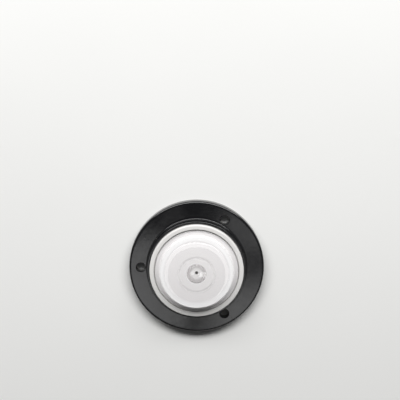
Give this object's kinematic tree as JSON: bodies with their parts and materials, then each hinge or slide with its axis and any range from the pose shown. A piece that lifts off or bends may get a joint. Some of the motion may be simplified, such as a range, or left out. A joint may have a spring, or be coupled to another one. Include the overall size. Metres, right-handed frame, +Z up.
{
  "type": "surface level",
  "caption": "Round surface level: a black flange with screw holes carries a white vial whose clear domed lens holds liquid, a free bubble, a target ring and a centre dot.",
  "frame": {"origin": "centre of the flange's flat underside, on the vial's axis", "axes": "+Z up out of the lens; +X to the picture's right and +Y to its top, so that one screw hole lies at -X"},
  "size_m": [0.044, 0.044, 0.0127],
  "materials": {
    "flange_body": "gloss",
    "vial_cup": "satin",
    "vial_lens": "gloss",
    "vial_liquid": "gloss",
    "air_bubble": "gloss",
    "fill_plug": "matte"
  },
  "bodies": {
    "holder": {"flange_body": "flange_body", "vial_cup": "vial_cup", "vial_lens": "vial_lens", "fill_plug": "fill_plug"},
    "liquid": {"vial_liquid": "vial_liquid"},
    "bubble": {"air_bubble": "air_bubble"}
  },
  "joints": [
    {"name": "liquid_swirl", "type": "hinge", "parent": "holder", "child": "liquid", "pos_m": [0, 0, 0.0098], "axis": [0, 0, 1], "continuous": true},
    {"name": "bubble_drift", "type": "hinge", "parent": "liquid", "child": "bubble", "pos_m": [0, 0, -0.1092], "axis": [1, 0, 0], "range_deg": [-3.7, 3.7], "stiffness_Nm_per_rad": 0.000125, "deforming": ["vial_liquid"]}
  ]
}
